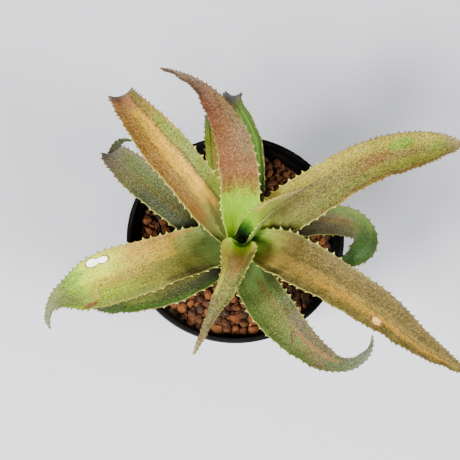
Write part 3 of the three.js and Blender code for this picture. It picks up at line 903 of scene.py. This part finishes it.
bladePlan = {
    "steps": 240,  # of the walk
    "narrowest": 0.5,
    "openCup": 25,  # half the channel's angle beyond the foot, where a leaf has no rest of its own
    "claspEnd": 0.4,  # share of the length
    "tipCup": 8,
    "marginThickness": 0.5,
    "footThickness": 1.0,
    "addedThickness": 1.0,
    "thicknessSkew": 0.85,
    "fullThicknessWidth": 8,
    "bead": 0.18,  # how far the rounded margin stands out between spines
    "beadTaper": 3,  # mm before the tip in which it shrinks
    "beadLeast": 0.25,
    "marginRoundness": 1.6,
    "tipReach": 0.9,  # from the last row to the point
    "sheathRows": 14,
    "tipRows": 7,
    "topColumns": 27,
    "underColumns": 19,
    "warp": 0.22,  # slow unevenness of the blade
    "warpWaves": (9, 14, 23, 37),  # mm
    "warpSlant": 2,
    "warpMiddle": 0.35,  # its share at the middle of the blade
    "warpStart": 8,  # mm from the foot
    "warpRise": 25,
    "seed": 20,
}

spinePlan = {
    "first": 9,  # mm from the foot
    "last": 2.0,  # mm before the tip
    "pitchFoot": 4.6,
    "pitchTip": 1.5,
    "lengthFoot": 1.6,
    "lengthTip": 0.6,
    "leanFoot": -0.5,
    "leanTip": 1.3,
    "lift": 0.15,
    "jitter": 0.2,
    "endJitter": 0.3,  # its share at the first and the last spines
    "sizes": (0.8, 1.2),  # smallest and largest, as shares of the full size
    "firstSize": 0.45,
    "growOver": 4,  # spines from the first to one of full size
    "stunted": 0.4,  # size of the odd short spine
    "stuntedFrom": 0.96,  # share of the spines that aren't short
    # one row of points for each place in the pitch, with the spine's outline there
    "phases": [-0.5, -0.38, -0.25, -0.14, -0.06, 0.0, 0.06, 0.14, 0.25, 0.38],
    "outline": [0.0, 0.03, 0.11, 0.26, 0.52, 1.0, 0.52, 0.26, 0.11, 0.03],
    "columns": [0.3, 0.6, 0.85],  # shares of the spine's length between margin and point
}


def smoothThrough(values, along):
    # Catmull-Rom curve through values at equal steps, the ends mirrored
    values = np.asarray(values, float)
    last = len(values) - 1
    place = np.clip(along, 0, 1) * last
    step = np.minimum(place.astype(int), last - 1)
    f = place - step
    b, c = values[step], values[step + 1]
    a = np.where(step > 0, values[np.maximum(step - 1, 0)], 2 * b - c)
    d = np.where(step + 2 <= last, values[np.minimum(step + 2, last)], 2 * c - b)
    square, cube = 2 * a - 5 * b + 4 * c - d, 3 * b - a - 3 * c + d
    return (2 * b + (c - a) * f + square * f ** 2 + cube * f ** 3) / 2


def bladeDirections(leaf, along):
    # forward = the heading's level direction, raised by the climb; up and side are square to it, and rolled
    heading, climb, roll = [np.radians(smoothThrough(leaf.get(name, [0, 0]), along))[..., None]
                            for name in ("heading", "climb", "roll")]
    level = np.concatenate([np.cos(heading), np.sin(heading), 0 * heading], -1)
    upright = np.array([0.0, 0.0, 1.0])
    forward = level * np.cos(climb) + upright * np.sin(climb)
    up = upright * np.cos(climb) - level * np.sin(climb)
    side = np.cross(forward, up)
    return forward, up * np.cos(roll) - side * np.sin(roll), side * np.cos(roll) + up * np.sin(roll)


def midrib(leaf):
    # the foot, then equal steps along the walk's direction
    steps = bladePlan["steps"]
    turn, distance, height = leaf["foot"]
    foot = [rosetteMiddle[0] + distance * math.cos(math.radians(turn)),
            rosetteMiddle[1] + distance * math.sin(math.radians(turn)), rimHeight + height]
    forward = bladeDirections(leaf, (np.arange(steps) + 0.5) / steps)[0]
    return np.vstack([foot, foot + np.cumsum(forward * leaf["length"] / steps, axis=0)])


def bladeSurface(leaf, along, across):
    # Section: an arc as long as the blade is wide, its half angle the cup. Point above = rib + side · R ·
    # sin(cup · across) + up · R · (1 - cos(cup · across)). The blade is thickest at its middle.
    plan = bladePlan
    rib = midrib(leaf)
    share = np.linspace(0, 1, len(rib))
    centre = np.stack([np.interp(along, share, rib[:, axis]) for axis in range(3)], -1)
    forward, up, side = bladeDirections(leaf, along)
    width = np.maximum(smoothThrough(leaf["width"], along), plan["narrowest"])
    rest = leaf.get("rest", plan["openCup"])
    clasp = (leaf["clasp"] - rest) * np.maximum(0, 1 - along / plan["claspEnd"])
    cup = np.radians(rest + clasp + plan["tipCup"] * along)
    radius = (width / 2 / cup)[..., None]
    turn = (cup * across)[..., None]
    above = centre + side * radius * np.sin(turn) + up * radius * (1 - np.cos(turn))
    normal = up * np.cos(turn) - side * np.sin(turn)
    outwards = side * np.cos(turn) + up * np.sin(turn)
    middle = plan["footThickness"] + plan["addedThickness"] * np.sin(np.pi * along ** plan["thicknessSkew"])
    bulge = (1 - across ** 2) * np.minimum(1, width / plan["fullThicknessWidth"])
    thickness = plan["marginThickness"] + (middle - plan["marginThickness"]) * bulge
    return above, normal, outwards, forward, thickness[..., None], width


def spineRows(leaf, draws):
    # The distance between spines shrinks evenly with the distance from the foot, so the number of spines
    # passed is a logarithm of that distance, and turning it round gives each row's place.
    plan = spinePlan
    length = leaf["length"]
    slope = (plan["pitchTip"] - plan["pitchFoot"]) / length
    firstPitch = plan["pitchFoot"] + slope * plan["first"]
    lastPitch = plan["pitchFoot"] + slope * (length - plan["last"])
    count = int(math.log(lastPitch / firstPitch) / slope)
    phase = (np.arange(count)[:, None] + plan["phases"]).ravel()
    margins = []
    for _ in range(2):
        wander = draws.uniform(-plan["jitter"], plan["jitter"], count + 2)
        wander[:2] *= plan["endJitter"]
        wander[-3:] *= plan["endJitter"]
        shifted = phase + np.interp(phase, np.arange(-1, count + 1), wander) + 0.5
        margins.append((firstPitch * np.exp(slope * shifted) - plan["pitchFoot"]) / slope)
    size = draws.uniform(*plan["sizes"], (2, count))
    size *= np.clip(plan["firstSize"] + np.arange(count) / plan["growOver"], 0, 1)
    size *= np.where(draws.uniform(0, 1, (2, count)) > plan["stuntedFrom"], plan["stunted"], 1)
    tooth = (size[:, :, None] * plan["outline"]).reshape(2, -1)
    return np.array(margins), tooth


def leafRows(leaf, draws):
    # distance of each row from the foot at the left and the right margin, and the spines' outline there
    spined, tooth = spineRows(leaf, draws)
    sheath = np.linspace(0, spined[:, 0], bladePlan["sheathRows"] + 1)[:-1].T
    tip = np.linspace(spined[:, -1], [leaf["length"]] * 2, bladePlan["tipRows"] + 1)[1:].T
    distance = np.concatenate([sheath, spined, tip], axis=1)
    return distance, np.concatenate([0 * sheath, tooth, 0 * tip], axis=1)


def unevenness(distance, across, draws):
    # a few slow waves along the blade, stronger towards its margins
    plan = bladePlan
    total = np.zeros(np.broadcast(distance, across).shape)
    for wave in plan["warpWaves"]:
        phase = draws.uniform(0, anyTurn)
        slant = draws.uniform(-plan["warpSlant"], plan["warpSlant"])
        weight = draws.uniform(0.5, 1)
        total += weight * np.sin(2 * np.pi * distance / wave + slant * across + phase)
    spread = plan["warpMiddle"] + (1 - plan["warpMiddle"]) * across ** 2
    return total * plan["warp"] * spread * np.clip((distance - plan["warpStart"]) / plan["warpRise"], 0, 1)


def leafArrays(leaf, draws):
    # The leaf is one grid: a row runs from the left margin over the top to the right margin, round the
    # right spines, back along the underside and round the left spines. Point = middle of the blade +
    # normal · half thickness · side + outwards · reach + (forward · lean + normal · lift) · spine length ·
    # out squared, with out from 0 at the margin to 1 at a spine's point.
    plan = bladePlan
    length = leaf["length"]
    margin, tooth = leafRows(leaf, draws)
    top = np.linspace(-1, 1, plan["topColumns"])
    under = np.linspace(1, -1, plan["underColumns"])
    climb = np.array(spinePlan["columns"])
    off = np.concatenate([climb, [1.0], climb[::-1]])
    face = np.concatenate([0 * climb, [0.5], 0 * climb + 1])
    across = np.concatenate([top, np.ones(len(off)), under, -np.ones(len(off))])[None]
    out = np.concatenate([0 * top, off, 0 * under, off])[None]
    isUnder = np.concatenate([0 * top, face, 0 * under + 1, 1 - face])[None]
    share = (across + 1) / 2
    distance = margin[0][:, None] * (1 - share) + margin[1][:, None] * share
    along = distance / length
    above, normal, outwards, forward, thickness, width = bladeSurface(leaf, along, across)
    spine = np.where(across < 0, tooth[0][:, None], tooth[1][:, None])
    grow, lean = [spinePlan[name + "Foot"] + (spinePlan[name + "Tip"] - spinePlan[name + "Foot"]) * along
                  for name in ("length", "lean")]
    grow = grow * leaf.get("spines", 1)
    nearTip = np.clip((length - distance) / plan["beadTaper"], plan["beadLeast"], 1)
    reach = out * (plan["bead"] * nearTip + spine * grow)
    thin = np.sqrt(1 - np.minimum(out, 1) ** plan["marginRoundness"])
    half = thickness / 2 * thin[..., None]
    side = np.where(isUnder > 0.5, -1, 1)[..., None]
    points = above - normal * thickness / 2 + normal * half * side
    points += outwards * (np.sign(across) * reach)[..., None]
    points += forward * (lean * spine * grow * out ** 2)[..., None]
    points += normal * (spinePlan["lift"] * spine * grow * out ** 2)[..., None]
    points += normal * unevenness(distance, across, draws)[..., None]
    foot = points[0].mean(axis=0)
    tip = points[-1].mean(axis=0) + forward[-1].mean(axis=0) * plan["tipReach"]
    rows, columns = distance.shape
    faces = [corners[::-1] for corners in closedFaces(rows, columns)]

    def listed(data, first, last):
        # a grid's values in the order of its points, then those of the foot and the tip
        return np.concatenate([np.broadcast_to(data, (rows, columns)).ravel(), [first, last]])

    attributes = {
        "along": listed(along, 0, 1),
        "across": listed(across, 0, 0),
        "spine": listed(out * np.clip(spine * 2, 0, 1), 0, 0.6),
        "under": listed(isUnder, 0.5, 0.5),
        "place": np.stack([listed(across * width / 2 + np.sign(across) * reach, 0, 0),
                           listed(distance, 0, length), listed(0, 0, 0)], -1),
    }
    return np.vstack([points.reshape(-1, 3), foot, tip]), faces, attributes


# leaf finishes

leafFinish = {
    "scales": "#bdb48a",  # the silvery grain's colour, where a leaf has no flecks of its own
    "marginFoot": "#c0c288",
    "marginTip": "#86684a",
    "spineFoot": "#cdcd98",
    "spineTip": "#7d5a40",
    "under": "#74805a",
    "underLine": "#a9ad88",
    "glow": 0.2,  # share of the light that goes through the leaf's flesh
    "glowReach": (1.0, 1.1, 0.35),  # of red, green and blue light, as shares of the depth
    "glowDepth": 2.5,  # mm
    "gloss": 0.16,
    "skinBump": (0.22, 0.7),  # height in mm, strength
    "noiseStep": 11.3,  # so that no two leaves have the same grain
    "fade": 0.05,  # of a stripe's two ends
    "softness": (0.04, 0.25),  # of a stripe's sides: least, and for each half width
    "patchNoise": (0.9, 2, 0.5),  # scale, detail, roughness
    "patchRagged": 0.6,
    "patchEdge": (1.1, 0.85),
    "patchDepth": 1000,  # so that a patch has no end across the leaf's thickness
}

# Stripes and bands waver and fray: noises, each with its stretch across and along the leaf, and how far
# each moves the place across and along.
wanderPlan = {
    "slow": (1, 1, 0.5, (0.12, 0.05, 1)),
    "fray": (1, 3, 0.6, (1.8, 0.14, 1)),
    "grain": (1, 2, 0.7, (1.1, 0.8, 1)),
    "blotch": (1, 3, 0.6, (0.35, 0.16, 1)),
}
wanderMoves = {
    "Across": {"slow": 0.3, "grain": 0.35, "fray": 0.28},
    "Along": {"blotch": 0.14, "grain": 0.09, "fray": 0.06},
}

skinPlan = {
    # noises, each with its stretch across and along the leaf
    "lines": (1, 2, 0.6, (2.2, 0.06, 1)),
    "mottle": (1, 4, 0.65, (0.5, 0.3, 1)),
    "flecks": (1, 3, 0.8, (1.9, 1.4, 1)),
    "speckledEdge": (0.14, 0.34),  # speckles begin where the smooth sheath ends
    "lightEdge": (0.51, 0.63),
    "darkEdge": (0.52, 0.38),
    # what each adds to the brightness
    "lineTone": 0.7,
    "mottleTone": 0.7,
    "darkTone": -0.55,
    "lightTone": 0.62,
    "fleckShare": 0.48,
    "outerEdge": (0.3, 0.65),  # from the foot's margin colours to the tip's
    "rimEdge": (0.972, 0.998),
    "rimBreaks": (0.3, 0.55, 0.4, 1),  # an edge, then the mask's lowest and highest value
    "rimShare": 0.35,
    "underLines": (0.45, 0.7),
    "underEdge": (0.45, 0.55),
    "underShare": 0.6,
    "spineEdge": (0.25, 0.7),
    "roughness": 0.42,
    "mottleRoughness": 0.25,
    "lightRoughness": 0.2,
    "mottleHeight": 0.8,
    "fleckHeight": 1.2,
}


def stripeGroup():
    # paints one stripe: full within the half width of its middle, between two places along the leaf
    group, given, put = newGroup("leafStripe", {
        "colours": ["Colour", "Paint"],
        "values": ["Across", "Along", "Middle", "Half width", "Soft", "From", "To", "Fade", "Strength"],
    }, {"colours": ["Colour"]})

    def edge(value, middle, reach, rising=False):
        # a smooth step that goes over reach on both sides of a middle
        low, high = [calculate(group, way, given[middle], given[reach]) for way in ("SUBTRACT", "ADD")]
        return ease(group, value, low, high) if rising else ease(group, value, high, low)

    off = calculate(group, "ABSOLUTE", calculate(group, "SUBTRACT", given["Across"], given["Middle"]))
    ends = times(group, edge(given["Along"], "From", "Fade", True), edge(given["Along"], "To", "Fade"))
    mask = times(group, times(group, edge(off, "Half width", "Soft"), ends), given["Strength"])
    feed(group, put, {"Colour": blendColours(group, mask, given["Colour"], given["Paint"])})
    return group


def wanderGroup():
    # moves the place on a leaf a little
    group, given, put = newGroup("leafWander", {"values": ["Across", "Along"], "vectors": ["Place"]},
                                 {"values": ["Across", "Along"]})
    noises = {name: evenNoise(group, given["Place"], *values) for name, values in wanderPlan.items()}
    for way, moves in wanderMoves.items():
        moved = given[way]
        for name, distance in moves.items():
            moved = plus(group, moved, noises[name], distance)
        feed(group, put, {way: moved})
    return group


def patchGroup():
    # paints an oval patch at a place on the leaf, its edge a little ragged
    plan = leafFinish
    group, given, put = newGroup("leafPatch", {
        "colours": ["Colour", "Paint"], "vectors": ["Place", "Middle", "Size", "Turn"],
        "values": ["Strength"],
    }, {"colours": ["Colour"]})
    entries = {"Vector": given["Place"], "Location": given["Middle"], "Rotation": given["Turn"],
               "Scale": given["Size"]}
    local = addNode(group, "Mapping", entries, vector_type="TEXTURE").outputs[0]
    length = addNode(group, "VectorMath", {0: local}, operation="LENGTH").outputs["Value"]
    ragged = evenNoise(group, given["Place"], *plan["patchNoise"])
    off = plus(group, length, ragged, plan["patchRagged"])
    mask = times(group, ease(group, off, *plan["patchEdge"]), given["Strength"])
    feed(group, put, {"Colour": blendColours(group, mask, given["Colour"], given["Paint"])})
    return group


def skinGroup():
    # mottling, lengthwise lines, silvery scales, pale margin, spines and the underside
    plan = skinPlan
    group, given, put = newGroup("leafSkin", {
        "colours": ["Colour", "Flecks"], "vectors": ["Place"],
        "values": ["Across", "Along", "Spine", "Under", "Speckles"],
    }, {"colours": ["Colour"], "values": ["Roughness", "Height"]})
    names = "lines", "mottle", "flecks"
    lines, mottle, flecks = [noise(group, given["Place"], *plan[name]) for name in names]
    speckled = times(group, given["Speckles"], ease(group, given["Along"], *plan["speckledEdge"]))
    light = times(group, ease(group, flecks, *plan["lightEdge"]), speckled)
    dark = times(group, ease(group, flecks, *plan["darkEdge"]), speckled)
    tone = plus(group, 1.0, calculate(group, "SUBTRACT", lines, 0.5), plan["lineTone"])
    tone = plus(group, tone, calculate(group, "SUBTRACT", mottle, 0.5), plan["mottleTone"])
    tone = plus(group, tone, dark, plan["darkTone"])
    tone = plus(group, tone, light, plan["lightTone"])
    colour = addNode(group, "HueSaturation", {"Value": tone, "Color": given["Colour"]}).outputs[0]
    colour = blendColours(group, times(group, light, plan["fleckShare"]), colour, given["Flecks"])
    # the margin and the spines are pale near the foot and brownish further out
    outer = ease(group, given["Along"], *plan["outerEdge"])
    marginFoot, marginTip, spineFoot, spineTip, under, underLine = [paint(leafFinish[name]) for name in (
        "marginFoot", "marginTip", "spineFoot", "spineTip", "under", "underLine")]
    edge = ease(group, calculate(group, "ABSOLUTE", given["Across"]), *plan["rimEdge"])
    edge = times(group, times(group, edge, plan["rimShare"]), ease(group, mottle, *plan["rimBreaks"]))
    colour = blendColours(group, edge, colour, blendColours(group, outer, marginFoot, marginTip))
    below = times(group, ease(group, given["Under"], *plan["underEdge"]), plan["underShare"])
    lined = blendColours(group, ease(group, lines, *plan["underLines"]), under, underLine)
    colour = blendColours(group, below, colour, lined)
    spine = ease(group, given["Spine"], *plan["spineEdge"])
    colour = blendColours(group, spine, colour, blendColours(group, outer, spineFoot, spineTip))
    rough = plus(group, plan["roughness"], mottle, plan["mottleRoughness"])
    rough = plus(group, rough, light, plan["lightRoughness"])
    height = plus(group, lines, mottle, plan["mottleHeight"])
    height = plus(group, height, times(group, flecks, speckled), plan["fleckHeight"])
    feed(group, put, {"Colour": colour, "Roughness": rough, "Height": height})
    return group


stripePaint = stripeGroup()
wander = wanderGroup()
patchPaint = patchGroup()
leafSkin = skinGroup()


def leafMaterial(piece, name, leaf):
    finish = leafFinish
    tree, inputs = addMaterial(piece, name + "Skin")
    along = attribute(tree, "along")
    plainAcross = attribute(tree, "across")
    flat = attribute(tree, "place", "Vector")
    apart = int(name[-2:]) * finish["noiseStep"]
    place = addNode(tree, "Mapping", {"Vector": flat, "Location": (0, 0, apart)}).outputs[0]
    moved = useGroup(tree, wander, {"Across": plainAcross, "Along": along, "Place": place})
    colour = colourRamp(tree, moved["Along"], [(stop, paint(code)) for stop, code in leaf["colours"]])
    for middle, half, start, end, code, strength in leaf["stripes"]:
        soft = finish["softness"][0] + finish["softness"][1] * half
        colour = useGroup(tree, stripePaint, {
            "Colour": colour, "Paint": paint(code), "Across": moved["Across"], "Along": moved["Along"],
            "Middle": middle, "Half width": half, "Soft": soft, "From": start, "To": end,
            "Fade": finish["fade"], "Strength": strength})["Colour"]
    for distance, aside, length, width, turn, code, strength in leaf.get("patches", []):
        colour = useGroup(tree, patchPaint, {
            "Colour": colour, "Paint": paint(code), "Place": flat, "Middle": (aside, distance, 0),
            "Size": (width, length, finish["patchDepth"]), "Turn": (0, 0, math.radians(turn)),
            "Strength": strength})["Colour"]
    skin = useGroup(tree, leafSkin, {
        "Colour": colour, "Across": plainAcross, "Along": along, "Spine": attribute(tree, "spine"),
        "Under": attribute(tree, "under"), "Place": place, "Speckles": leaf["speckles"],
        "Flecks": paint(leaf.get("flecks", finish["scales"]))})
    normal = bump(tree, skin["Height"], *finish["skinBump"])
    dress(tree, inputs, skin["Colour"], skin["Roughness"], finish["gloss"], normal)
    feed(tree, inputs, {"Subsurface Weight": finish["glow"], "Subsurface Radius": finish["glowReach"],
                        "Subsurface Scale": finish["glowDepth"] * mm})


def addLeaves():
    for number, (name, leaf) in enumerate(leafPlans.items()):
        draws = np.random.default_rng(bladePlan["seed"] + number)
        points, faces, attributes = leafArrays(leaf, draws)
        piece = addPiece(name + "Blade", points, faces, "leaf", attributes)
        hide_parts(name)
        leafMaterial(piece, name, leaf)
        print(name, len(faces), "faces")


# floor

floorPlan = {
    "side": 6000,
    "level": -0.2,
    "colour": (0.475, 0.49, 0.525),
    "roughness": 0.85,
}


def addFloor():
    half, level = floorPlan["side"] / 2, floorPlan["level"]
    corners = [(-half, -half, level), (half, -half, level), (half, half, level), (-half, half, level)]
    floor = addPiece("floor", corners, [[0, 1, 2, 3]])
    tree, inputs = addMaterial(floor, "paleBacking")
    feed(tree, inputs, {"Base Color": (*floorPlan["colour"], 1), "Roughness": floorPlan["roughness"]})


addCamera()
addLights()
addFloor()
print("stage set")
addPot()
print("pot made")
addSoil()
print("soil made")
addStem()
print("stem made")
addLeaves()
print("leaves made")
